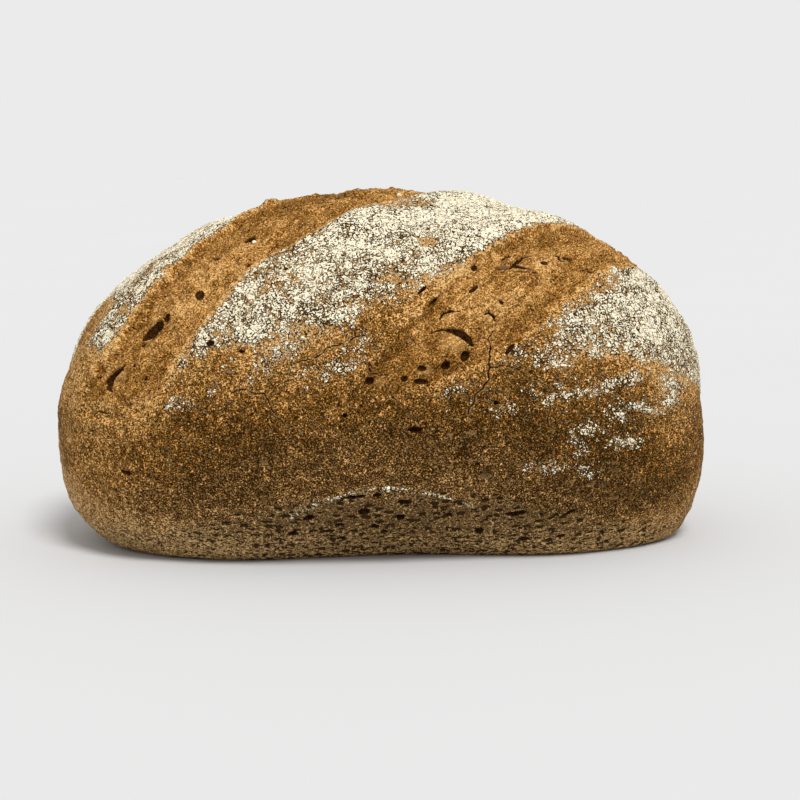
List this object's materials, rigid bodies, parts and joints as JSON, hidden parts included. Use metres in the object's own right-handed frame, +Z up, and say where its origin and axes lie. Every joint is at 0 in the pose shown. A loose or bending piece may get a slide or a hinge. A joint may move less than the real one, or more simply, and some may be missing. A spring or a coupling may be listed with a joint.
{
  "type": "whole wheat bread loaf",
  "caption": "Free-standing oval whole wheat loaf with a domed floury crust, diagonal cuts that opened in the oven, and a flat base.",
  "frame": {"origin": "middle of the flat base, on the surface the loaf stands on", "axes": "+X along the loaf's length, +Y towards its back, +Z up"},
  "size_m": [0.25, 0.146, 0.134],
  "materials": {
    "crust": "baked crust, matte, golden brown in the cuts and darker brown on the sides",
    "flour": "dry flour dust and clumps baked onto the crust",
    "bran": "toasted bran flakes and cracked grain in the crust, matte"
  },
  "bodies": {
    "root": {"loaf": "crust"}
  },
  "joints": []
}
